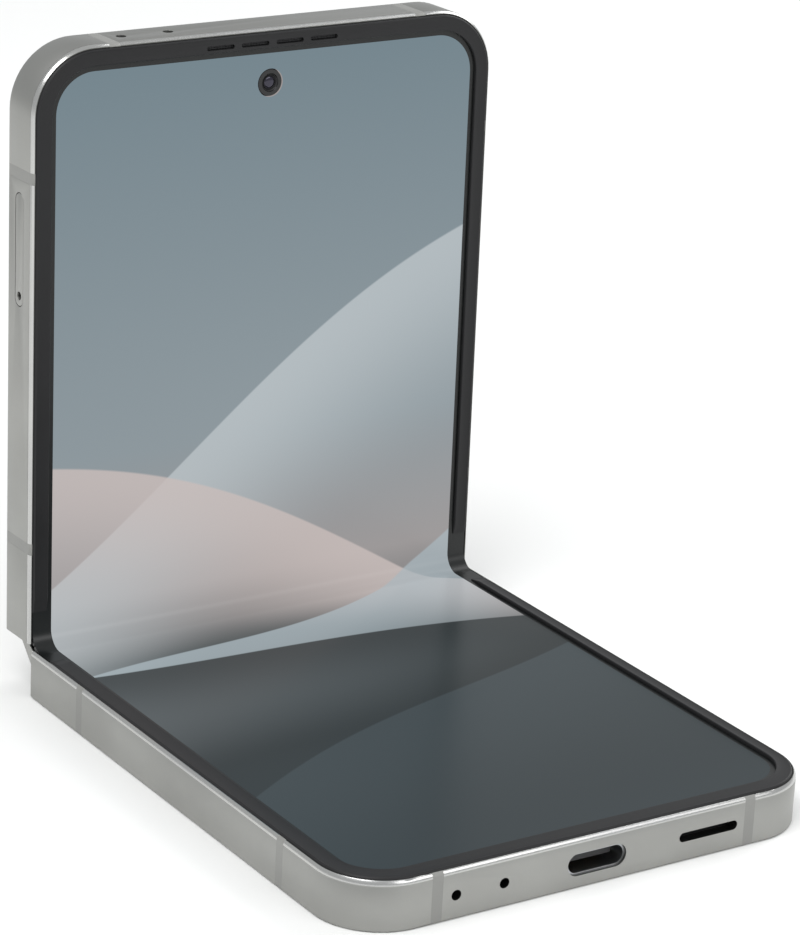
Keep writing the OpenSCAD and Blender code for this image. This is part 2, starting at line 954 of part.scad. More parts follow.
module upper_frame() {
    color("#b9bab7")
        in_upper()
            difference() {
                half_frame();
                mirror([1, 0, 0])
                    side_slot(tray_s, tray_size[0] + 2 * key_clear, tray_size[1] + 2 * key_clear,
                        half_w - wall_t - 2, half_w + 1);
                side_slot(power_key_s, power_key_size[0] + 2 * key_clear,
                    power_key_size[1] + 2 * key_clear, half_w - wall_t - 2, half_w + 1);
                side_slot(volume_key_s, volume_key_size[0] + 2 * key_clear,
                    volume_key_size[1] + 2 * key_clear, half_w - wall_t - 2, half_w + 1);
                for (x = mic_x)
                    end_slot(x, 2 * mic_r + eps, 2 * mic_r, wall_t + 1);
                post(0, front_camera_s, [0, frame_t], front_hole_r + 0.25);
                // Sound path from the earpiece to the slots in the bezel
                block([-9, 9], [half_l - 2.6, half_l - 1.5], [bay_top - 1, frame_t]);
            }
}

// Window over the cover display, with round holes for the cameras and the flash
module cover_window() {
    color("#16181a")
        in_upper()
            linear_extrude(glass_t)
                difference() {
                    half_plan(glass_inset + 0.05, glass_start + 0.05);
                    for (x = rear_camera_x)
                        translate([x, rear_camera_s])
                            circle(camera_ring_r + 0.03);
                    translate([flash_x, rear_camera_s])
                        circle(1.9);
                }
}

module cover_display() {
    color("#0b0c0d")
        in_upper()
            soft_block([-31.5, 31.5], [hinge_bar_l + 0.4, 63], [glass_t + 0.01, 1.2], 3);
}

module upper_bezel() {
    color("#2d2d2e")
        in_upper()
            difference() {
                perimeter_sweep(bezel_end)
                    bezel_section();
                for (i = [0:ear_slots - 1])
                    translate([(i - (ear_slots - 1) / 2) * (ear_slot_size[0] + 1.1),
                        half_l - 1.9, ledge_z - 1])
                        linear_extrude(4)
                            stadium(ear_slot_size[0], ear_slot_size[1]);
            }
}

module upper_antenna_bands() {
    color("#a3a4a1")
        in_upper()
            half_bands();
}

module display_upper() {
    color("#7d8c92")
        in_upper()
            half_display(true);
}

module upper_support_plate() {
    color("#8d8f90")
        in_upper()
            half_support_plate(true);
}

module upper_battery() {
    color("#33363a")
        in_upper()
            soft_block([-30, 30], [hinge_bar_l + 1, 41], [1.25, bay_top], 1.5);
}

module main_board() {
    z = [bay_top - board_t, bay_top];
    color("#1d5b3d")
        in_upper()
            difference() {
                soft_block([-31, 31], [42.2, half_l - wall_t - 0.1], z, 5);
                for (x = rear_camera_x)
                    post(x, rear_camera_s, [z[0] - 1, z[1] + 1], 5.2);
                post(0, front_camera_s, [z[0] - 1, z[1] + 1], front_hole_r + 0.4);
                block([-9.5, 9.5], [front_camera_s + 2.2, half_l], [z[0] - 1, z[1] + 1]);
            }
}

module shield_can() {
    x = [-15, 8];
    s = [44.5, 64];
    z = [1.7, bay_top - board_t];
    color("#a5a7a9")
        in_upper()
            difference() {
                block(x, s, z);
                block([x[0] + 0.2, x[1] - 0.2], [s[0] + 0.2, s[1] - 0.2], [z[0] + 0.2, z[1] + 1]);
            }
}

// Cage on the board that the card tray slides into
module card_receptacle() {
    z = [port_z - tray_plate_t / 2 - 0.35, bay_top - board_t];
    x = [-half_w + wall_t + 0.3, -half_w + tray_depth + 0.6];
    s = [tray_plate_s - tray_plate_w / 2 - 0.4, tray_plate_s + tray_plate_w / 2 + 0.4];
    color("#b4b6b8")
        in_upper()
            difference() {
                block(x, s, z);
                block([x[0] - 1, x[1] - 0.3], [s[0] + 0.3, s[1] - 0.3],
                    [port_z - tray_plate_t / 2 - 0.1, port_z + tray_plate_t / 2 + 0.1]);
            }
}

// Tray that slides out of the left wall, with its eject hole and a pocket for one card
module card_tray() {
    color("#b2b3b0")
        in_upper()
            difference() {
                union() {
                    mirror([1, 0, 0])
                        side_slot(tray_s, tray_size[0], tray_size[1], half_w - 1.2, half_w);
                    block([-half_w + 1, -half_w + tray_depth],
                        [tray_plate_s - tray_plate_w / 2, tray_plate_s + tray_plate_w / 2],
                        [port_z - tray_plate_t / 2, port_z + tray_plate_t / 2]);
                }
                soft_block([-half_w + 3.4, -half_w + tray_depth - 1],
                    [tray_plate_s - tray_plate_w / 2 + 1, tray_plate_s + tray_plate_w / 2 - 1],
                    [port_z - 0.2, port_z + 2], 0.8);
                translate([-half_w - 1, tray_s - tray_size[0] / 2 + 1.4, port_z])
                    rotate([0, 90, 0])
                        cylinder(r = eject_r, h = 2 * wall_t);
            }
}

// A key: its cap stands out of the wall, and a flange inside keeps it from falling out
module side_key(s, size) {
    side_slot(s, size[0], size[1], key_inner_x - flange_t, half_w + key_proud);
    side_slot(s, size[0] + 1.2, size[1] + 0.6, key_inner_x - flange_t, key_inner_x);
}

module power_key() {
    color("#9fa09d")
        in_upper()
            side_key(power_key_s, power_key_size);
}

module volume_rocker() {
    color("#b2b3b0")
        in_upper()
            side_key(volume_key_s, volume_key_size);
}

// Strip with three dome switches behind the keys
module key_switches() {
    back = key_inner_x - flange_t - 0.45;
    color("#6b4a2a")
        in_upper() {
            block([back - 0.2, back], [power_key_s - 4, volume_key_s + 9],
                [port_z - 1, bay_top]);
            for (s = [power_key_s, volume_key_s - 6, volume_key_s + 6])
                translate([back, s, port_z])
                    rotate([0, 90, 0])
                        cylinder(r1 = 1, r2 = 0.6, h = 0.12);
        }
}

module earpiece() {
    color("#2b2c2e")
        in_upper()
            soft_block([-8.5, 8.5], [front_camera_s + 2.4, half_l - wall_t - 0.2],
                [bay_top - 2.6, bay_top], 0.6);
}

module front_camera() {
    color("#101113")
        in_upper() {
            post(0, front_camera_s, [bay_top - 1.4, display_z - 0.12], front_hole_r - 0.1);
            soft_block([-2.6, 2.6], [front_camera_s - 2.3, front_camera_s + 2.2],
                [bay_top - 2.6, bay_top - board_t - 0.05], 0.4);
        }
}

// Raised ring round a rear camera, with a sloped outer edge
module camera_ring(x) {
    in_upper()
        translate([x, rear_camera_s, 0])
            rotate_extrude($fn = 72)
                polygon([
                    [camera_ring_r - 1.2, glass_t],
                    [camera_ring_r - 1.2, 0.1 - camera_proud],
                    [camera_ring_r - 1.1, -camera_proud],
                    [camera_ring_r - 0.25, -camera_proud],
                    [camera_ring_r, 0.25 - camera_proud],
                    [camera_ring_r, glass_t]
                ]);
}

module camera_ring_main() {
    color("#b0b2b1")
        camera_ring(rear_camera_x[0]);
}

module camera_ring_wide() {
    color("#b0b2b1")
        camera_ring(rear_camera_x[1]);
}

module camera_glass(x) {
    in_upper()
        post(x, rear_camera_s, [0.1 - camera_proud, 0.6 - camera_proud], camera_ring_r - 1.22);
}

module camera_glass_main() {
    color("#0c0d10")
        camera_glass(rear_camera_x[0]);
}

module camera_glass_wide() {
    color("#0c0d10")
        camera_glass(rear_camera_x[1]);
}

// Lens barrel on its square base
module camera_module(x, barrel_r) {
    in_upper() {
        post(x, rear_camera_s, [0.7 - camera_proud, 2.6], barrel_r);
        soft_block([x - 4.9, x + 4.9], [rear_camera_s - 4.9, rear_camera_s + 4.9],
            [2.2, bay_top - board_t - 0.05], 0.8);
        post(x, rear_camera_s, [bay_top - board_t - 0.1, bay_top], 4.6);
    }
}

module camera_module_main() {
    color("#17191c")
        camera_module(rear_camera_x[0], 4.2);
}

module camera_module_wide() {
    color("#17191c")
        camera_module(rear_camera_x[1], 3.9);
}

module flash_window() {
    color("#e8e2cf")
        in_upper()
            post(flash_x, rear_camera_s, [0, glass_t], 1.87);
}

module flash_led() {
    color("#d8c98a")
        in_upper()
            soft_block([flash_x - 1.3, flash_x + 1.3], [rear_camera_s - 1.3, rear_camera_s + 1.3],
                [glass_t + 0.05, bay_top - board_t], 0.2);
}

module top_mic_meshes() {
    color("#1b1c1d")
        in_upper()
            mic_meshes();
}

module upper_rotator_right() {
    color("#7d8084")
        in_upper()
            rotator(shoe_step);
}

module upper_rotator_left() {
    color("#7d8084")
        in_upper()
            mirror([1, 0, 0])
                rotator(shoe_step);
}

module upper_hinge_screws() {
    color("#5d6063")
        in_upper()
            hinge_screws();
}

lower_frame();
lower_back_glass();
lower_bezel();
lower_antenna_bands();
display_lower();
lower_support_plate();
lower_battery();
charging_coil();
sub_board();
port_shell();
port_tongue();
speaker_module();
speaker_mesh();
port_mic_meshes();
vibration_motor();
lower_rotator_left();
lower_rotator_right();
lower_hinge_screws();
display_fold();
spine_cover();
spine_cap_left();
spine_cap_right();
hinge_block_left();
hinge_block_right();
sync_block();
friction_sleeves();
sync_arm_lower();
sync_arm_upper();
idler_gear_lower();
idler_gear_upper();
upper_frame();
cover_window();
cover_display();
upper_bezel();
upper_antenna_bands();
display_upper();
upper_support_plate();
upper_battery();
main_board();
shield_can();
card_receptacle();
card_tray();
power_key();
volume_rocker();
key_switches();
earpiece();
front_camera();
camera_ring_main();
camera_ring_wide();
camera_glass_main();
camera_glass_wide();
camera_module_main();
camera_module_wide();
flash_window();
flash_led();
top_mic_meshes();
upper_rotator_left();
upper_rotator_right();
upper_hinge_screws();
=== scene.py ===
"""A clamshell phone with a folding screen, half open with its lower half flat on a table."""

from math import asin, cos, pi, radians, sin, sqrt

import bmesh
import bpy
from mathutils import Matrix, Vector


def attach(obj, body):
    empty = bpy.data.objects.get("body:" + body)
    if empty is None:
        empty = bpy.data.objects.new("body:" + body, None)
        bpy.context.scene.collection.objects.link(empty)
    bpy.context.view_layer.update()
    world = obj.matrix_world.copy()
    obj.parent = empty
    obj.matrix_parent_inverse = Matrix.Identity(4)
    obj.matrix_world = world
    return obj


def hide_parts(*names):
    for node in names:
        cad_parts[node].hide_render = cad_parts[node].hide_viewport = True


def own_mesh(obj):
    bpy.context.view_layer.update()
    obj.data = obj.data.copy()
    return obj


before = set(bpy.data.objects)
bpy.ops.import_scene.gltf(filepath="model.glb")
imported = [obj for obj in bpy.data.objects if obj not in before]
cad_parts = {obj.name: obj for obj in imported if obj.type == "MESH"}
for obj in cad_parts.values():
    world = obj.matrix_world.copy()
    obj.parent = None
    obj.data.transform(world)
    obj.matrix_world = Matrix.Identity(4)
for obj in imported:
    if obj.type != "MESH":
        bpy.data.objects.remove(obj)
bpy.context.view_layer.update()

MM = 0.001
# Sizes in millimetres, as the CAD model has them. The screen's are in the frame of a half.
HALF_W = 35.95
HALF_L = 82.55
FRAME_T = 6.9
CORNER_R = 9.0
FREE_END_Y = -41.275
AXIS_Z = 7.45
HALF_TURN = radians(44.5)
DISPLAY_Z = 6.87
BEND_R = 2.6
BEND_START = 1.985
SHEET_INSET = 2.0
BEZEL_START = 4.75
FRONT_CAMERA_S = 75.05
FRONT_HOLE_R = 1.95
REAR_CAMERA_S = 70.6
REAR_CAMERA_X = {"main": 25.0, "wide": 11.2}
FLASH_X = 1.6
PORT_Z = 3.3
# Sizes in millimetres that follow the photograph where the CAD model is plainer
ACTIVE_INSET = 3.4
BEZEL_INSET = 2.65
FOLD_HALF_W = 35.4
FOLD_BORDER_END = 4.7
SHEET_T = 0.5
SHEET_OVERLAP = 0.02

# From a half's own frame (x, distance from the hinge, height above its back) to the phone's frame
LOWER = Matrix.Diagonal((MM, -MM, MM, 1.0))
LOWER.translation = Vector((0, -FREE_END_Y * MM, 0))
UPPER = (
    Matrix.Translation(Vector((0, -FREE_END_Y, AXIS_Z)) * MM)
    @ Matrix.Rotation(2 * HALF_TURN, 4, "X")
    @ Matrix.Translation((0, 0, -AXIS_Z * MM))
    @ Matrix.Diagonal((MM, MM, MM, 1.0))
)
SPINE = (
    Matrix.Translation(Vector((0, -FREE_END_Y, AXIS_Z)) * MM)
    @ Matrix.Rotation(HALF_TURN, 4, "X")
    @ Matrix.Diagonal((MM, MM, MM, 1.0))
)
PLACES = {
    "lower_half": LOWER,
    "upper_half": UPPER,
    "spine": SPINE,
    "card_tray": UPPER,
    "power_key": UPPER,
    "volume_rocker": UPPER,
}

# ---------------------------------------------------------------- camera

scene = bpy.context.scene
scene.view_settings.view_transform = "Standard"

# The photographer's camera: long lens, a little above the phone, in front of its left corner.
# Focal length and picture height in pixels of the photograph, place in mm, angles in degrees.
SENSOR_MM = 36.0
FOCAL_PX = 3746.6
PHOTO_HEIGHT_PX = 935.0
CAMERA_PLACE = (-258.27, -375.82, 207.1)
CAMERA_HEADING = -33.998
CAMERA_DOWN = 19.974
CAMERA_ROLL = 3.007
camera_data = bpy.data.cameras.new("photo_camera")
camera = bpy.data.objects.new("photo_camera", camera_data)
scene.collection.objects.link(camera)
scene.camera = camera
camera_data.sensor_width = SENSOR_MM
camera_data.lens = SENSOR_MM * FOCAL_PX / PHOTO_HEIGHT_PX
camera_data.clip_start = 0.01
camera.matrix_world = (
    Matrix.Translation(Vector(CAMERA_PLACE) * MM)
    @ Matrix.Rotation(radians(CAMERA_HEADING), 4, "Z")
    @ Matrix.Rotation(radians(90 - CAMERA_DOWN), 4, "X")
    @ Matrix.Rotation(radians(CAMERA_ROLL), 4, "Z")
)

# ---------------------------------------------------------------- materials


def srgb(code):
    """A hex colour as the linear colour that the shaders take"""
    parts = [int(code[i : i + 2], 16) / 255 for i in (1, 3, 5)]
    return [
        c / 12.92 if c <= 0.04045 else ((c + 0.055) / 1.055) ** 2.4 for c in parts
    ] + [1.0]


def add(tree, kind, inputs=None, **settings):
    """Adds a shader node with its settings; inputs holds numbers, colours or other nodes' sockets"""
    node = tree.nodes.new(kind)
    for name, value in settings.items():
        setattr(node, name, value)
    for key, value in (inputs or {}).items():
        if isinstance(value, bpy.types.NodeSocket):
            tree.links.new(value, node.inputs[key])
        else:
            node.inputs[key].default_value = value
    return node


def finish_of(name, colour, **sockets):
    """A new material of one surface finish, with its tree and its shader"""
    material = bpy.data.materials.new(name)
    material.use_nodes = True
    tree = material.node_tree
    shader = tree.nodes["Principled BSDF"]
    shader.inputs["Base Color"].default_value = srgb(colour)
    for key, value in sockets.items():
        shader.inputs[key.replace("_", " ")].default_value = value
    return material, tree, shader


def grained(name, colour, other, size, depth, rough, **sockets):
    """A finish with a fine grain of a size in mm: its colour, roughness and relief all vary with it"""
    material, tree, shader = finish_of(name, colour, **sockets)
    place = add(tree, "ShaderNodeTexCoord").outputs["Object"]
    grain = add(
        tree,
        "ShaderNodeTexNoise",
        {"Vector": place, "Scale": 1000 / size, "Detail": 3.0, "Roughness": 0.6},
    ).outputs["Fac"]
    cloud = add(
        tree,
        "ShaderNodeTexNoise",
        {"Vector": place, "Scale": 1000 / 14, "Detail": 4.0},
    ).outputs["Fac"]
    blend = add(
        tree,
        "ShaderNodeMapRange",
        {"Value": cloud, 1: 0.35, 2: 0.65, 3: 0.0, 4: 0.55},
    ).outputs[0]
    speck = add(
        tree, "ShaderNodeMath", {0: grain, 1: 0.45, 2: blend}, operation="MULTIPLY_ADD"
    ).outputs[0]
    tone = add(
        tree,
        "ShaderNodeMix",
        {"Factor": speck, 6: srgb(colour), 7: srgb(other)},
        data_type="RGBA",
    ).outputs[2]
    tree.links.new(tone, shader.inputs["Base Color"])
    sheen = add(
        tree,
        "ShaderNodeMapRange",
        {"Value": cloud, 1: 0.3, 2: 0.7, 3: rough[0], 4: rough[1]},
    ).outputs[0]
    tree.links.new(sheen, shader.inputs["Roughness"])
    relief = add(
        tree,
        "ShaderNodeBump",
        {"Height": grain, "Strength": 0.35, "Distance": depth * MM},
    ).outputs["Normal"]
    tree.links.new(relief, shader.inputs["Normal"])
    return material


# Anodised aluminium, bead blasted: a soft, even, slightly warm grey with a very fine tooth. The real
# beads leave pits of about 0.05 mm; they are drawn at 0.16 mm so that they show.
SATIN_ALUMINIUM = grained(
    "bead_blasted_anodised_aluminium", "#a4a4a1", "#9b9b98", 0.16, 0.004, (0.36, 0.42), Metallic=1.0
)
# The same alloy cut with a diamond tool along the rim: bright and smooth. Its tool lines are finer
# than a pixel and are drawn as a faint unevenness of 0.3 mm.
BRIGHT_ALUMINIUM = grained(
    "diamond_cut_aluminium", "#c4c4c1", "#bababa", 0.3, 0.001, (0.2, 0.28), Metallic=1.0
)
# Inside faces of the frame, milled and anodised
MILLED_ALUMINIUM = grained(
    "milled_anodised_aluminium", "#5d5d5b", "#525250", 0.2, 0.003, (0.34, 0.46), Metallic=1.0
)
# The lip of the rim beside the bezel: the same aluminium made darker, as painted shade of the bezel
LIP_PAINTED_SHADE_ALUMINIUM = grained(
    "lip_aluminium_painted_shade", "#6a6a68", "#5f5f5d", 0.2, 0.002, (0.3, 0.38), Metallic=1.0
)
# Glass-filled nylon moulded into the antenna breaks and blasted with the frame
ANTENNA_NYLON = grained(
    "glass_filled_nylon", "#8b8b88", "#82827f", 0.18, 0.004, (0.42, 0.52), IOR=1.53
)
# Thermoplastic elastomer of the bezel: matt black, a little soft
BEZEL_RUBBER = grained(
    "moulded_black_elastomer", "#232324", "#29292a", 0.22, 0.006, (0.4, 0.5), IOR=1.5,
    Specular_IOR_Level=0.22,
)
# Back glass, etched: a dull silver layer under a frosted surface
FROSTED_GLASS = grained(
    "etched_back_glass", "#b9bab6", "#b1b2ae", 0.25, 0.002, (0.3, 0.36), IOR=1.51, Metallic=0.35
)
# Cover window: polished glass with black ink behind
BLACK_GLASS = grained(
    "ink_backed_cover_glass", "#08090a", "#0b0c0e", 0.5, 0.0003, (0.04, 0.07), IOR=1.51
)
# Stainless sheet, rolled
STEEL_SHEET = grained("rolled_stainless_sheet", "#b4b6b8", "#a6a8aa", 0.3, 0.003, (0.26, 0.38), Metallic=1.0)
# Hinge parts, sintered steel, ground on their running faces
SINTERED_STEEL = grained("sintered_steel", "#86888b", "#77797c", 0.12, 0.006, (0.34, 0.5), Metallic=1.0)
# Gears, sintered and oiled, with a warmer tone
OILED_STEEL = grained("oiled_gear_steel", "#9a9284", "#857e72", 0.1, 0.004, (0.22, 0.36), Metallic=1.0)
# Screws, black zinc
BLACK_ZINC = grained("black_zinc_plate", "#5a5c5f", "#4c4e51", 0.15, 0.003, (0.26, 0.4), Metallic=1.0)
# Battery pouch: black lacquered aluminium foil
FOIL = grained("lacquered_battery_foil", "#232427", "#2a2b2f", 1.2, 0.02, (0.3, 0.45), IOR=1.5)
# Enamelled copper wire
COPPER = grained("enamelled_copper", "#b8713f", "#a3602f", 0.2, 0.01, (0.25, 0.35), Metallic=1.0)
# Circuit boards, green solder mask
SOLDER_MASK = grained("green_solder_mask", "#14532f", "#0f4526", 0.8, 0.01, (0.28, 0.4), IOR=1.5)
# Polyimide film of the flex strips
POLYIMIDE = grained("polyimide_film", "#8a5a22", "#7a4c1a", 0.6, 0.004, (0.3, 0.42), IOR=1.7)
# Moulded black liquid crystal polymer of modules and tongue
BLACK_POLYMER = grained("moulded_black_polymer", "#1b1b1c", "#232324", 0.15, 0.004, (0.38, 0.52), IOR=1.55)
# Gold plate of the contacts
GOLD_PLATE = grained("gold_plate", "#d9b45a", "#c9a24a", 0.2, 0.001, (0.2, 0.3), Metallic=1.0)


def woven(name, colour, pitch):
    """Fine steel cloth: two sets of wires crossing at a pitch in mm, dark between them"""
    material, tree, shader = finish_of(name, colour, Metallic=1.0, Roughness=0.42)
    place = add(tree, "ShaderNodeTexCoord").outputs["Object"]
    sets = []
    for direction in ("X", "Z"):
        sets.append(
            add(
                tree,
                "ShaderNodeTexWave",
                {"Vector": place, "Scale": 2 * pi / (20 * pitch * MM)},
                bands_direction=direction,
                wave_profile="SIN",
            ).outputs["Fac"]
        )
    wire = add(tree, "ShaderNodeMath", {0: sets[0], 1: sets[1]}, operation="MAXIMUM").outputs[0]
    tone = add(
        tree,
        "ShaderNodeMix",
        {"Factor": wire, 6: srgb("#060606"), 7: srgb(colour)},
        data_type="RGBA",
    ).outputs[2]
    tree.links.new(tone, shader.inputs["Base Color"])
    relief = add(
        tree, "ShaderNodeBump", {"Height": wire, "Strength": 0.8, "Distance": 0.05 * MM}
    ).outputs["Normal"]
    tree.links.new(relief, shader.inputs["Normal"])
    return material


# Black woven steel over the sound openings. The real cloth has 0.08 mm wires; it is drawn with a
# pitch of 0.24 mm so that the weave shows.
WOVEN_STEEL = woven("woven_black_steel", "#3a3a3b", 0.24)
# Coated lens glass: near black, with the violet of its anti-reflection layers
LENS_GLASS = grained(
    "coated_lens_glass", "#0a0a12", "#10101c", 1.5, 0.0001, (0.03, 0.05), IOR=1.62, Coat_Weight=0.6,
    Coat_Tint=srgb("#8a7cc4"), Coat_Roughness=0.04,
)
# Matt black baffles between the lenses
BAFFLE = grained("blackened_baffle", "#0c0c0d", "#121213", 0.1, 0.004, (0.5, 0.62), IOR=1.5)
# Retaining rings of the lenses, black anodised and turned
LENS_RING = grained("turned_black_ring", "#2b2b2d", "#232325", 0.08, 0.003, (0.24, 0.32), Metallic=1.0)
# Pressed acrylic lens of the flash, milky, with the yellow of the phosphor behind it
FLASH_LENS = grained("pressed_acrylic_lens", "#e4dfcb", "#efe9d2", 0.5, 0.004, (0.16, 0.24), IOR=1.49)

# ---------------------------------------------------------------- making pieces


def piece(name, bm, body, materials, smooth=35.0):
    """Turns a bmesh, drawn in the frame of its half or of the spine, into a piece that rides on body"""
    bmesh.ops.transform(bm, matrix=PLACES[body], verts=bm.verts)
    bmesh.ops.remove_doubles(bm, verts=bm.verts, dist=1e-6)
    bmesh.ops.recalc_face_normals(bm, faces=bm.faces)
    mesh = bpy.data.meshes.new(name)
    bm.to_mesh(mesh)
    bm.free()
    for material in materials:
        mesh.materials.append(material)
    mesh.shade_smooth()
    mesh.set_sharp_from_angle(angle=radians(smooth))
    obj = bpy.data.objects.new(name, mesh)
    scene.collection.objects.link(obj)
    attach(obj, body)
    return obj


def cad_copy(node, back):
    """A CAD node's mesh in its half's own millimetres: doubles merged and flat faces joined"""
    bm = bmesh.new()
    bm.from_mesh(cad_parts[node].data)
    bmesh.ops.transform(bm, matrix=back, verts=bm.verts)
    bmesh.ops.remove_doubles(bm, verts=bm.verts, dist=0.002)
    bmesh.ops.dissolve_limit(
        bm, angle_limit=radians(0.4), verts=bm.verts, edges=bm.edges
    )
    return bm


SHARP_EDGE = 28.0


def break_edges(bm, width, segments=2, where=None):
    """Breaks outer edges sharper than SHARP_EDGE degrees, as tumbling and blasting do"""
    edges = [
        e
        for e in bm.edges
        if len(e.link_faces) == 2
        and e.is_convex
        and e.calc_face_angle() > radians(SHARP_EDGE)
        and (where is None or where(e))
    ]
    bmesh.ops.bevel(
        bm,
        geom=edges,
        offset=width,
        offset_type="OFFSET",
        segments=segments,
        profile=0.5,
        material=-1,
        affect="EDGES",
        clamp_overlap=True,
    )


# ---------------------------------------------------------------- frames

# Fine line under the rim: the heights of its two edges and its middle, and its depth
GROOVE_Z = (6.08, 6.16, 6.24)
GROOVE_DEPTH = 0.05
# The rim: where it starts, how wide it is, and the radius of its edges
RIM_Z = 6.26
RIM_W = 0.6
RIM_ROUND = 0.19
# Faces of the rim that look up more than this are the lip, which takes the darker aluminium as painted shade
# of the bezel
LIP_FACING = 0.72
# Past this depth and above this height the frame is milled, not blasted
MILLED_DEPTH = 0.45
MILLED_Z = 0.7


def outline_depth(x, s):
    """How far inside the outline of a half a point lies, in mm"""
    dx, dy = abs(x) - (HALF_W - CORNER_R), s - (HALF_L - CORNER_R)
    if dx > 0 and dy > 0:
        return CORNER_R - sqrt(dx * dx + dy * dy)
    return CORNER_R - max(dx, dy)


def move_inward(vert, step):
    """Moves a point of the outer wall straight in from the outline"""
    dx, dy = abs(vert.co.x) - (HALF_W - CORNER_R), vert.co.y - (HALF_L - CORNER_R)
    side = 1 if vert.co.x > 0 else -1
    if dx > 0 and dy > 0:
        r = sqrt(dx * dx + dy * dy)
        vert.co.x -= side * step * dx / r
        vert.co.y -= step * dy / r
    elif dx > dy:
        vert.co.x -= side * step
    else:
        vert.co.y -= step


def rim_of_frame(bm):
    """The fine line cut round the wall under the rim"""
    for level in GROOVE_Z:
        bmesh.ops.bisect_plane(
            bm,
            geom=bm.verts[:] + bm.edges[:] + bm.faces[:],
            plane_co=(0, 0, level),
            plane_no=(0, 0, 1),
        )
    for vert in bm.verts:
        depth = outline_depth(vert.co.x, vert.co.y)
        if abs(vert.co.z - GROOVE_Z[1]) < 1e-4 and depth < 0.02:
            move_inward(vert, GROOVE_DEPTH)


def metal_face(face):
    """0 blasted wall, 1 polished rim, 2 milled inside, 3 lip beside the bezel, darker with painted shade"""
    c = face.calc_center_median()
    depth = outline_depth(c.x, c.y)
    if c.z > RIM_Z and depth < RIM_W:
        # Up-facing rim faces get the lip's darker aluminium: painted shade of the bezel
        return 3 if face.normal.z > LIP_FACING else 1
    return 2 if depth > MILLED_DEPTH and c.z > MILLED_Z else 0


def dress_frame(node, name, body):
    """The aluminium frame of a half: blasted outside, diamond cut rim, milled inside"""
    bm = cad_copy(node, PLACES[body].inverted())
    rim = [
        e
        for e in bm.edges
        if all(abs(v.co.z - FRAME_T) < 0.01 and outline_depth(v.co.x, v.co.y) < 0.3 for v in e.verts)
    ]
    bmesh.ops.bevel(
        bm, geom=rim, offset=RIM_ROUND, offset_type="OFFSET", segments=6, profile=0.5, material=-1,
        affect="EDGES", clamp_overlap=True,
    )
    break_edges(bm, 0.05, where=lambda e: all(v.co.z < FRAME_T - 0.2 for v in e.verts))
    rim_of_frame(bm)
    bm.normal_update()
    for face in bm.faces:
        face.material_index = metal_face(face)
    obj = piece(name, bm, body, [SATIN_ALUMINIUM, BRIGHT_ALUMINIUM, MILLED_ALUMINIUM, LIP_PAINTED_SHADE_ALUMINIUM])
    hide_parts(node)


dress_frame("lower_frame", "lower_frame_finished", "lower_half")
dress_frame("upper_frame", "upper_frame_finished", "upper_half")


def dress(node, body, materials, width):
    """A CAD shape with its edges broken and a finish of its own"""
    bm = cad_copy(node, PLACES[body].inverted())
    break_edges(bm, width)
    obj = piece(node + "_finished", bm, body, materials)
    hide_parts(node)


def ring_sweep(section, start):
    """Sweeps a closed section round both sides and the free end, from start; its x counts inwards"""
    bm = bmesh.new()
    verts = [bm.verts.new((HALF_W - x, start, z)) for x, z in section]
    edges = [bm.edges.new((verts[i - 1], verts[i])) for i in range(len(verts))]
    straight = HALF_L - CORNER_R - start
    legs = ((0, straight), (-2 * (HALF_W - CORNER_R), 0), (0, -straight))
    centres = ((HALF_W - CORNER_R, HALF_L - CORNER_R), (CORNER_R - HALF_W, HALF_L - CORNER_R))
    for i, leg in enumerate(legs):
        grown = bmesh.ops.extrude_edge_only(bm, edges=edges)["geom"]
        verts = [g for g in grown if isinstance(g, bmesh.types.BMVert)]
        edges = [
            g for g in grown if isinstance(g, bmesh.types.BMEdge) and all(v in verts for v in g.verts)
        ]
        bmesh.ops.translate(bm, vec=(leg[0], leg[1], 0), verts=verts)
        if i < len(centres):
            turned = bmesh.ops.spin(
                bm,
                geom=verts + edges,
                cent=(centres[i][0], centres[i][1], 0),
                axis=(0, 0, 1),
                angle=pi / 2,
                steps=24,
                use_merge=False,
                use_duplicate=False,
            )["geom_last"]
            verts = [g for g in turned if isinstance(g, bmesh.types.BMVert)]
            edges = [g for g in turned if isinstance(g, bmesh.types.BMEdge)]
    bmesh.ops.holes_fill(bm, edges=[e for e in bm.edges if e.is_boundary], sides=0)
    return bm


# The bezel's section, from its foot on the ledge: steep outer slope, ridge, top that rises gently
# inwards, and the inner edge over the display. Distance in from the outline, then height, in mm.
BEZEL_SECTION = (
    (0.45, 6.3),
    (0.45, 6.78),
    (0.54, 6.98),
    (0.64, 7.11),
    (0.72, 7.16),
    (0.8, 7.14),
    (0.88, 7.1),
    (2.45, 7.36),
    (2.55, 7.37),
    (BEZEL_INSET, 7.28),
    (BEZEL_INSET, 6.89),
    (1.9, 6.89),
    (1.9, 6.3),
)
# The raised part runs down to this share of its height over the last stretch before the hinge
BEZEL_END_SHARE = 0.3
BEZEL_RAMP = 2.4
BEZEL_FLAT_Z = 6.9
# Earpiece slots: middles across, length and width, and middle along the half
EAR_SLOT_X = (-8.1, -2.7, 2.7, 8.1)
EAR_SLOT = (4.3, 0.6)
EAR_SLOT_S = HALF_L - 1.9


def stadium(bm, x, s, z, w, h, thick):
    """Adds a flat bar with round ends to a mesh, its top at z"""
    plate = bmesh.ops.create_grid(bm, x_segments=1, y_segments=1, size=0.5)["verts"]
    bmesh.ops.scale(bm, vec=(w, h, 1), verts=plate)
    bmesh.ops.translate(bm, vec=(x, s, z), verts=plate)
    rounds = bmesh.ops.bevel(
        bm, geom=plate, offset=0.495 * h, offset_type="OFFSET", segments=8, profile=0.5,
        material=-1, affect="VERTICES",
    )
    faces = {f for v in rounds["verts"] for f in v.link_faces}
    low = bmesh.ops.extrude_face_region(bm, geom=list(faces))["geom"]
    bmesh.ops.translate(
        bm, vec=(0, 0, -thick), verts=[g for g in low if isinstance(g, bmesh.types.BMVert)]
    )


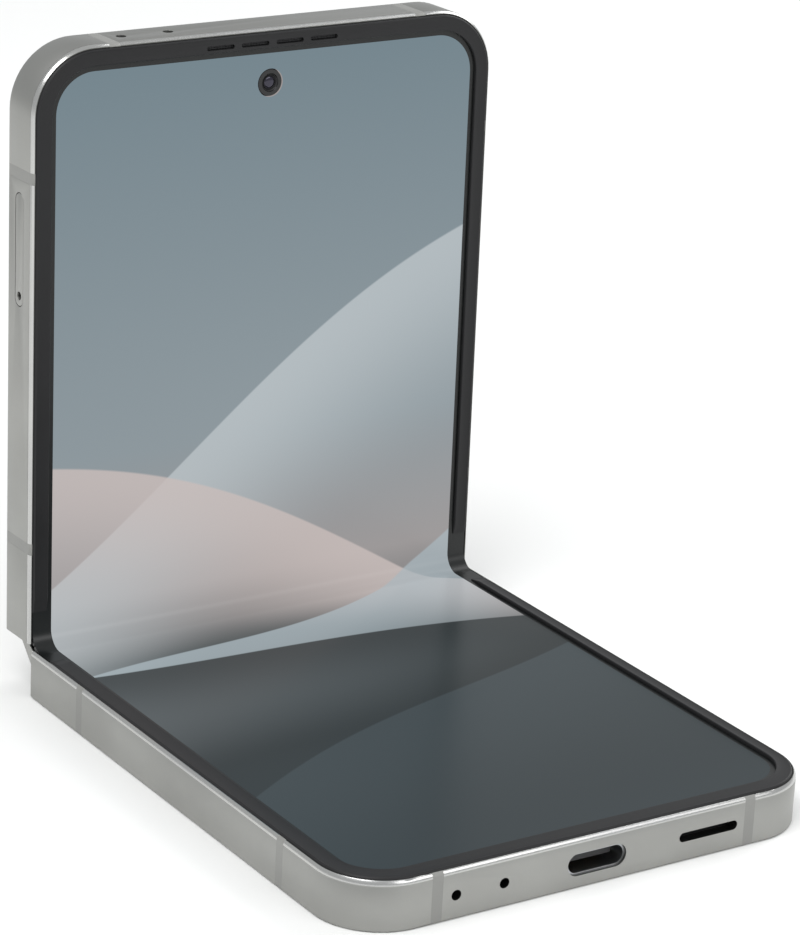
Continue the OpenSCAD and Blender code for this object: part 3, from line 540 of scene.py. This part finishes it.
def cut(obj, body, bm):
    """Cuts a shape, drawn in the frame of its half, out of a finished piece"""
    bmesh.ops.transform(bm, matrix=PLACES[body], verts=bm.verts)
    bmesh.ops.recalc_face_normals(bm, faces=bm.faces)
    mesh = bpy.data.meshes.new("cutter")
    bm.to_mesh(mesh)
    bm.free()
    tool = bpy.data.objects.new("cutter", mesh)
    scene.collection.objects.link(tool)
    hole = obj.modifiers.new("hole", "BOOLEAN")
    hole.operation, hole.solver, hole.object = "DIFFERENCE", "EXACT", tool
    bpy.context.view_layer.update()
    result = bpy.data.meshes.new_from_object(
        obj.evaluated_get(bpy.context.evaluated_depsgraph_get())
    )
    obj.modifiers.clear()
    obj.data = result
    bpy.data.objects.remove(tool)


def bezel(name, node, body, slots):
    """The raised elastomer bezel, with the earpiece slots in the upper one"""
    bm = ring_sweep(BEZEL_SECTION, BEZEL_START)
    for i in range(1, 6):
        bmesh.ops.bisect_plane(
            bm,
            geom=bm.verts[:] + bm.edges[:] + bm.faces[:],
            plane_co=(0, BEZEL_START + BEZEL_RAMP * i / 6, 0),
            plane_no=(0, 1, 0),
        )
    for vert in bm.verts:
        way = min(1.0, (vert.co.y - BEZEL_START) / BEZEL_RAMP)
        share = BEZEL_END_SHARE + (1 - BEZEL_END_SHARE) * way * way * (3 - 2 * way)
        if vert.co.z > BEZEL_FLAT_Z:
            vert.co.z = BEZEL_FLAT_Z + (vert.co.z - BEZEL_FLAT_Z) * share
    obj = piece(name, bm, body, [BEZEL_RUBBER], 40.0)
    if slots:
        tool = bmesh.new()
        for x in EAR_SLOT_X:
            stadium(tool, x, EAR_SLOT_S, 8.0, EAR_SLOT[0], EAR_SLOT[1], 2.4)
        cut(obj, body, tool)
    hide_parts(node)


bezel("lower_bezel_moulding", "lower_bezel", "lower_half", False)
bezel("upper_bezel_moulding", "upper_bezel", "upper_half", True)

# Woven steel behind the earpiece slots
bm = bmesh.new()
for x in EAR_SLOT_X:
    stadium(bm, x, EAR_SLOT_S, 6.92, EAR_SLOT[0] + 0.3, EAR_SLOT[1] + 0.3, 0.2)
ear_mesh = piece("earpiece_slot_mesh", bm, "upper_half", [WOVEN_STEEL])

dress("lower_antenna_bands", "lower_half", [ANTENNA_NYLON], 0.02)
dress("upper_antenna_bands", "upper_half", [ANTENNA_NYLON], 0.02)
dress("card_tray", "card_tray", [SATIN_ALUMINIUM], 0.05)
dress("power_key", "power_key", [SATIN_ALUMINIUM], 0.12)
dress("volume_rocker", "volume_rocker", [SATIN_ALUMINIUM], 0.12)
dress("spine_cover", "spine", [SATIN_ALUMINIUM], 0.05)
dress("spine_cap_left", "spine", [SATIN_ALUMINIUM], 0.1)
dress("spine_cap_right", "spine", [SATIN_ALUMINIUM], 0.1)

# ---------------------------------------------------------------- screen


def screen_picture():
    """The lit screen: soft ribbons of slate, pale blue, blush and dark teal, under a polished film.

    The UV map holds the place on the sheet in units of 100 mm, with V = 0 on the fold."""
    material, tree, shader = finish_of(
        "lit_folding_display",
        "#000000",
        Roughness=0.26,
        IOR=1.45,
        Specular_IOR_Level=0.2,
    )
    uv = add(tree, "ShaderNodeUVMap", uv_map="sheet").outputs[0]
    split = add(tree, "ShaderNodeSeparateXYZ", {0: uv})
    across, along = split.outputs[0], split.outputs[1]
    ground = add(
        tree,
        "ShaderNodeMapRange",
        {"Value": along, 1: -0.8, 2: 0.8, 3: 0.0, 4: 1.0},
    ).outputs[0]
    ramp = add(tree, "ShaderNodeValToRGB", {0: ground})
    stops = [
        (0.0, "#333c40"),
        (0.3, "#2a3133"),
        (0.44, "#474f51"),
        (0.53, "#a19d9d"),
        (0.66, "#919ca2"),
        (1.0, "#758790"),
    ]
    band = ramp.color_ramp
    band.elements[0].position, band.elements[0].color = stops[0][0], srgb(stops[0][1])
    band.elements[1].position, band.elements[1].color = stops[-1][0], srgb(stops[-1][1])
    for place, colour in stops[1:-1]:
        band.elements.new(place).color = srgb(colour)
    colour = ramp.outputs[0]
    # Each ribbon: height where its crest lies, lean, size, pitch and phase of its wave, how far it
    # fades downwards, its colour and its strength
    ribbons = [
        (0.30, 0.55, 0.05, 5.2, 0.6, 0.34, "#c3cbcf", 0.75),
        (0.10, -0.35, 0.06, 4.4, 2.1, 0.26, "#cfc3c0", 0.8),
        (-0.03, 0.42, 0.07, 5.0, 3.9, 0.34, "#aebcc3", 0.7),
        (-0.16, -0.25, 0.05, 4.0, 0.4, 0.4, "#262d2f", 0.94),
        (-0.42, 0.5, 0.05, 4.8, 2.6, 0.4, "#414c51", 0.7),
    ]
    for height, lean, size, pitch, phase, fade, tint, strength in ribbons:
        turn = add(
            tree, "ShaderNodeMath", {0: across, 1: pitch, 2: phase}, operation="MULTIPLY_ADD"
        ).outputs[0]
        wave = add(tree, "ShaderNodeMath", {0: turn}, operation="SINE").outputs[0]
        crest = add(
            tree, "ShaderNodeMath", {0: wave, 1: size, 2: height}, operation="MULTIPLY_ADD"
        ).outputs[0]
        crest = add(
            tree, "ShaderNodeMath", {0: across, 1: lean, 2: crest}, operation="MULTIPLY_ADD"
        ).outputs[0]
        below = add(
            tree, "ShaderNodeMath", {0: crest, 1: along}, operation="SUBTRACT"
        ).outputs[0]
        edge = add(
            tree, "ShaderNodeMapRange", {"Value": below, 1: 0.0, 2: 0.003, 3: 0.0, 4: 1.0}
        ).outputs[0]
        tail = add(
            tree,
            "ShaderNodeMapRange",
            {"Value": below, 1: 0.0, 2: fade, 3: strength, 4: 0.0},
            interpolation_type="SMOOTHSTEP",
        ).outputs[0]
        share = add(
            tree, "ShaderNodeMath", {0: edge, 1: tail}, operation="MULTIPLY"
        ).outputs[0]
        colour = add(
            tree,
            "ShaderNodeMix",
            {"Factor": share, 6: colour, 7: srgb(tint)},
            data_type="RGBA",
        ).outputs[2]
    tree.links.new(colour, shader.inputs["Emission Color"])
    shader.inputs["Emission Strength"].default_value = 0.92
    # The film over the fold is never quite flat: long shallow waves along the hinge
    creases = add(
        tree,
        "ShaderNodeTexWave",
        {"Vector": uv, "Scale": 6.0, "Distortion": 0.4, "Detail": 1.0},
        bands_direction="Y",
    ).outputs["Fac"]
    relief = add(
        tree, "ShaderNodeBump", {"Height": creases, "Strength": 0.1, "Distance": 0.004 * MM}
    ).outputs["Normal"]
    tree.links.new(relief, shader.inputs["Normal"])
    return material


SCREEN = screen_picture()
# Black ink border of the panel, under the same film
SCREEN_BORDER = grained(
    "black_ink_under_film", "#0d0f0f", "#111414", 0.5, 0.0005, (0.3, 0.34), IOR=1.45
)
# Underside and edges of the panel
PANEL_EDGE = grained("laminated_panel_edge", "#101112", "#18191a", 0.2, 0.002, (0.4, 0.5), IOR=1.5)


def bent(s, depth):
    """Place (distance from the hinge, height) of a point of the sheet, depth below its surface"""
    if s >= BEND_START:
        return s, DISPLAY_Z - depth
    turn = (BEND_START - s) / BEND_R
    r = BEND_R + depth
    return BEND_START - r * sin(turn), DISPLAY_Z + BEND_R - r * cos(turn)


def screen_sheet(name, body, sunk, camera_hole):
    """One half of the folding display, drawn flat, then bent round the fold past its middle"""
    fold_middle = BEND_START - BEND_R * HALF_TURN
    end = BEND_START - BEND_R * asin((BEND_START + SHEET_OVERLAP) / BEND_R)
    width, free = HALF_W - SHEET_INSET, HALF_L - SHEET_INSET
    bm = bmesh.new()
    bmesh.ops.create_grid(bm, x_segments=1, y_segments=1, size=1.0)
    low = end - 3.0
    bmesh.ops.scale(bm, vec=(width, (free - low) / 2, 1), verts=bm.verts)
    bmesh.ops.translate(bm, vec=(0, (free + low) / 2, 0), verts=bm.verts)
    corners = [v for v in bm.verts if v.co.y > 10]
    bmesh.ops.bevel(
        bm,
        geom=corners,
        offset=CORNER_R - SHEET_INSET,
        offset_type="OFFSET",
        segments=20,
        profile=0.5,
        material=-1,
        affect="VERTICES",
    )
    # The lit part of the sheet is the inside of an even ink border
    bmesh.ops.inset_region(
        bm,
        faces=bm.faces,
        thickness=ACTIVE_INSET - SHEET_INSET,
        use_even_offset=True,
        use_boundary=True,
    )
    for face in bm.faces:
        c = face.calc_center_bounds()
        face.material_index = 0 if abs(c.x) < 20 and 20 < c.y < 60 else 1
    bmesh.ops.bisect_plane(
        bm,
        geom=bm.verts[:] + bm.edges[:] + bm.faces[:],
        plane_co=(0, end, 0),
        plane_no=(0, -1, 0),
        clear_outer=True,
    )
    steps = 16
    cuts = [FOLD_BORDER_END] + [BEND_START + (end - BEND_START) * i / steps for i in range(steps)]
    for s in cuts:
        bmesh.ops.bisect_plane(
            bm,
            geom=bm.verts[:] + bm.edges[:] + bm.faces[:],
            plane_co=(0, s, 0),
            plane_no=(0, 1, 0),
        )
    # Beside the fold, where no bezel covers it, the border is wider
    sides = [
        e
        for e in bm.edges
        if e.is_boundary
        and all(v.co.y < FOLD_BORDER_END + 0.01 and abs(abs(v.co.x) - width) < 1e-3 for v in e.verts)
    ]
    wide = bmesh.ops.extrude_edge_only(bm, edges=sides)
    for v in wide["geom"]:
        if isinstance(v, bmesh.types.BMVert):
            v.co.x += (FOLD_HALF_W - width) * (1 if v.co.x > 0 else -1)
    for face in bm.faces:
        if abs(face.calc_center_bounds().x) > HALF_W - ACTIVE_INSET:
            face.material_index = 1
    below = bmesh.ops.extrude_face_region(bm, geom=bm.faces[:])
    lower_side = {v for v in below["geom"] if isinstance(v, bmesh.types.BMVert)}
    sheet = bm.loops.layers.uv.new("sheet")
    for face in bm.faces:
        if any(v in lower_side for v in face.verts):
            face.material_index = 2
        for loop in face.loops:
            place = loop.vert.co.y - fold_middle
            loop[sheet].uv = (
                loop.vert.co.x / 100,
                (place if body == "upper_half" else -place) / 100,
            )
    for v in bm.verts:
        depth = SHEET_T if v in lower_side else 0.0
        depth += sunk * max(0.0, min(1.0, (fold_middle - v.co.y + 0.2) / 0.2))
        v.co.y, v.co.z = bent(v.co.y, depth)
        # Cut square: a slanted end face would lie open on the other sheet when the phone is flat
        v.co.y = max(v.co.y, -SHEET_OVERLAP)
    obj = piece(name, bm, body, [SCREEN, SCREEN_BORDER, PANEL_EDGE], 50.0)
    if camera_hole:
        tool = bmesh.new()
        bmesh.ops.create_cone(
            tool, cap_ends=True, segments=64, radius1=FRONT_HOLE_R, radius2=FRONT_HOLE_R, depth=3.0
        )
        bmesh.ops.translate(tool, vec=(0, FRONT_CAMERA_S, DISPLAY_Z), verts=tool.verts)
        cut(obj, body, tool)
    place = PLACES[body]
    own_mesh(obj)
    return obj


lower_screen = screen_sheet("screen_lower", "lower_half", 0.02, False)
upper_screen = screen_sheet("screen_upper", "upper_half", 0.0, True)
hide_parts("display_lower", "display_fold")
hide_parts("display_upper")

# ---------------------------------------------------------------- cameras and flash


def turned(name, body, centre, profile, materials, bands, slot, nodes=(), smooth=30.0, base=None):
    """A part turned about an axis square to its half: radius and height of each point of its profile.

    bands holds, from each point to the next, which of the materials the surface takes. base is a
    mesh of what the turned part stands on, in the frame of its half."""
    bm = base or bmesh.new()
    old = set(bm.faces)
    verts = [bm.verts.new((centre[0] + r, centre[1], z)) for r, z in profile]
    edges = [bm.edges.new(pair) for pair in zip(verts, verts[1:])]
    bmesh.ops.spin(
        bm,
        geom=verts + edges,
        cent=(centre[0], centre[1], 0),
        axis=(0, 0, 1),
        angle=2 * pi,
        steps=72,
        use_merge=True,
        use_duplicate=False,
    )
    bmesh.ops.remove_doubles(bm, verts=bm.verts, dist=1e-4)
    for face in set(bm.faces) - old:
        c = face.calc_center_median()
        r = max(sqrt((v.co.x - centre[0]) ** 2 + (v.co.y - centre[1]) ** 2) for v in face.verts)
        low = min(sqrt((v.co.x - centre[0]) ** 2 + (v.co.y - centre[1]) ** 2) for v in face.verts)
        for i, ((r0, z0), (r1, z1)) in enumerate(zip(profile, profile[1:])):
            if (
                abs(max(r0, r1) - r) < 0.004
                and abs(min(r0, r1) - low) < 0.004
                and min(z0, z1) - 0.002 <= c.z <= max(z0, z1) + 0.002
            ):
                face.material_index = bands[i]
    obj = piece(name, bm, body, materials, smooth)
    if nodes:
        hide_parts(*nodes)


def dome(radius, edge, top, steps=8):
    """Points of a lens surface, from its edge to its top on the axis"""
    return [
        (radius * cos(pi / 2 * i / steps), edge + (top - edge) * sin(pi / 2 * i / steps))
        for i in range(steps + 1)
    ]


# Front camera, under the hole in the display: a black window, a stepped baffle and a small lens
lens = dome(0.78, 6.5, 6.66)
base = bmesh.new()
bmesh.ops.create_cube(base, size=1.0)
bmesh.ops.scale(base, vec=(5.2, 4.5, 2.0), verts=base.verts)
bmesh.ops.translate(base, vec=(0, FRONT_CAMERA_S - 0.05, 3.6), verts=base.verts)
break_edges(base, 0.3)
for face in base.faces:
    face.material_index = 1
profile = (
    [(0.0, 3.8), (1.85, 3.8), (1.85, 6.74), (1.8, 6.8), (1.28, 6.8), (1.22, 6.72), (1.02, 6.6)]
    + [(0.98, 6.66), (0.86, 6.66), (0.8, 6.5)]
    + lens
)
bands = [1, 1, 0, 0, 2, 1, 2, 2, 1, 3] + [3] * len(lens)
turned(
    "front_camera_lens",
    "upper_half",
    (0.0, FRONT_CAMERA_S),
    profile,
    [BLACK_GLASS, BAFFLE, LENS_RING, LENS_GLASS],
    bands,
    "black_plastic",
    ("front_camera",),
    base=base,
)

# Rear cameras, each behind its ring: printed border, two turned steps and the domed front lens
for key, lens_r in (("main", 2.15), ("wide", 1.75)):
    lens = dome(lens_r, -0.4, -0.62)
    profile = (
        [(0.0, -0.24), (4.47, -0.24), (4.47, -0.76), (4.42, -0.8), (3.35, -0.8), (3.27, -0.72)]
        + [(3.25, -0.5), (3.0, -0.5), (2.92, -0.58), (2.75, -0.58), (2.7, -0.42), (2.45, -0.34)]
        + [(2.4, -0.46), (lens_r + 0.08, -0.46), (lens_r + 0.04, -0.36)]
        + lens
    )
    bands = [1, 0, 0, 0, 2, 1, 1, 2, 2, 1, 1, 2, 2, 1, 3] + [3] * len(lens)
    turned(
        "rear_camera_lens_" + key,
        "upper_half",
        (REAR_CAMERA_X[key], REAR_CAMERA_S),
        profile,
        [BLACK_GLASS, BAFFLE, LENS_RING, LENS_GLASS],
        bands,
        "camera_glass",
        ("camera_glass_" + key,),
    )

# Flash window: rings pressed into its face, as a flat lens has
profile = [(0.0, 0.64), (1.86, 0.64), (1.86, 0.05), (1.8, 0.0), (1.62, 0.0)]
for i in range(5):
    r = 1.6 - 0.3 * i
    profile += [(r, 0.1), (r - 0.28, 0.01)]
profile += [(0.1, 0.0), (0.0, 0.0)]
turned(
    "flash_lens",
    "upper_half",
    (FLASH_X, REAR_CAMERA_S),
    profile,
    [FLASH_LENS],
    [0] * len(profile),
    "flash_glass",
    ("flash_window",),
    20.0,
)

# ---------------------------------------------------------------- contacts of the charging port

CONTACTS = 12
CONTACT_PITCH = 0.5
CONTACT_SIZE = (0.26, 3.4, 0.05)
bm = bmesh.new()
for i in range(CONTACTS):
    for side in (-1, 1):
        pad = bmesh.ops.create_cube(bm, size=1.0)["verts"]
        bmesh.ops.scale(bm, vec=CONTACT_SIZE, verts=pad)
        place = ((i - (CONTACTS - 1) / 2) * CONTACT_PITCH, HALF_L - 4.2, PORT_Z + side * 0.36)
        bmesh.ops.translate(bm, vec=place, verts=pad)
break_edges(bm, 0.012, segments=1)
contacts = piece("port_contacts", bm, "lower_half", [GOLD_PLATE])

# ---------------------------------------------------------------- plain finishes of the inner parts

FINISHES = {
    "lower_back_glass": FROSTED_GLASS,
    "cover_window": BLACK_GLASS,
    "cover_display": BLACK_GLASS,
    "camera_ring_main": SATIN_ALUMINIUM,
    "camera_ring_wide": SATIN_ALUMINIUM,
    "port_shell": STEEL_SHEET,
    "shield_can": STEEL_SHEET,
    "card_receptacle": STEEL_SHEET,
    "lower_support_plate": STEEL_SHEET,
    "upper_support_plate": STEEL_SHEET,
    "vibration_motor": STEEL_SHEET,
    "lower_battery": FOIL,
    "upper_battery": FOIL,
    "charging_coil": COPPER,
    "sub_board": SOLDER_MASK,
    "main_board": SOLDER_MASK,
    "key_switches": POLYIMIDE,
    "port_tongue": BLACK_POLYMER,
    "speaker_module": BLACK_POLYMER,
    "earpiece": BLACK_POLYMER,
    "camera_module_main": BLACK_POLYMER,
    "camera_module_wide": BLACK_POLYMER,
    "speaker_mesh": WOVEN_STEEL,
    "port_mic_meshes": WOVEN_STEEL,
    "top_mic_meshes": WOVEN_STEEL,
    "lower_hinge_screws": BLACK_ZINC,
    "upper_hinge_screws": BLACK_ZINC,
    "sync_arm_lower": OILED_STEEL,
    "sync_arm_upper": OILED_STEEL,
    "idler_gear_lower": OILED_STEEL,
    "idler_gear_upper": OILED_STEEL,
    "flash_led": GOLD_PLATE,
}
for node in (
    "lower_rotator_left",
    "lower_rotator_right",
    "upper_rotator_left",
    "upper_rotator_right",
    "hinge_block_left",
    "hinge_block_right",
    "sync_block",
    "friction_sleeves",
):
    FINISHES[node] = SINTERED_STEEL
for node, material in FINISHES.items():
    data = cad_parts[node].data
    for i in range(len(data.materials)):
        data.materials[i] = material

# ---------------------------------------------------------------- floor and light

floor_mesh = bpy.data.meshes.new("studio_floor")
bm = bmesh.new()
bmesh.ops.create_grid(bm, x_segments=1, y_segments=1, size=6.0)
bm.to_mesh(floor_mesh)
bm.free()
floor = bpy.data.objects.new("studio_floor", floor_mesh)
scene.collection.objects.link(floor)
floor_paint, tree, shader = finish_of("matt_white_floor", "#f4f4f3", Roughness=0.9)
floor_mesh.materials.append(floor_paint)

world = bpy.data.worlds.new("studio")
scene.world = world
world.use_nodes = True
world.node_tree.nodes["Background"].inputs["Color"].default_value = srgb("#e9ebec")
world.node_tree.nodes["Background"].inputs["Strength"].default_value = 0.75


def softbox(name, place, aim, size, power):
    """A rectangular studio light, its place, aim and size in metres"""
    data = bpy.data.lights.new(name, "AREA")
    data.shape, data.size, data.size_y = "RECTANGLE", size[0], size[1]
    data.energy = power
    light = bpy.data.objects.new(name, data)
    scene.collection.objects.link(light)
    direction = Vector(aim) - Vector(place)
    light.rotation_euler = direction.to_track_quat("-Z", "Y").to_euler()
    light.location = place


softbox("key_light", (-0.5, -0.2, 0.9), (0, 0, 0.04), (0.6, 0.6), 6.0)
softbox("front_light", (0.3, -0.9, 0.5), (0, 0, 0.03), (0.7, 0.4), 2.2)
softbox("right_light", (0.8, 0.2, 0.6), (0, 0, 0.04), (0.4, 0.7), 3.0)
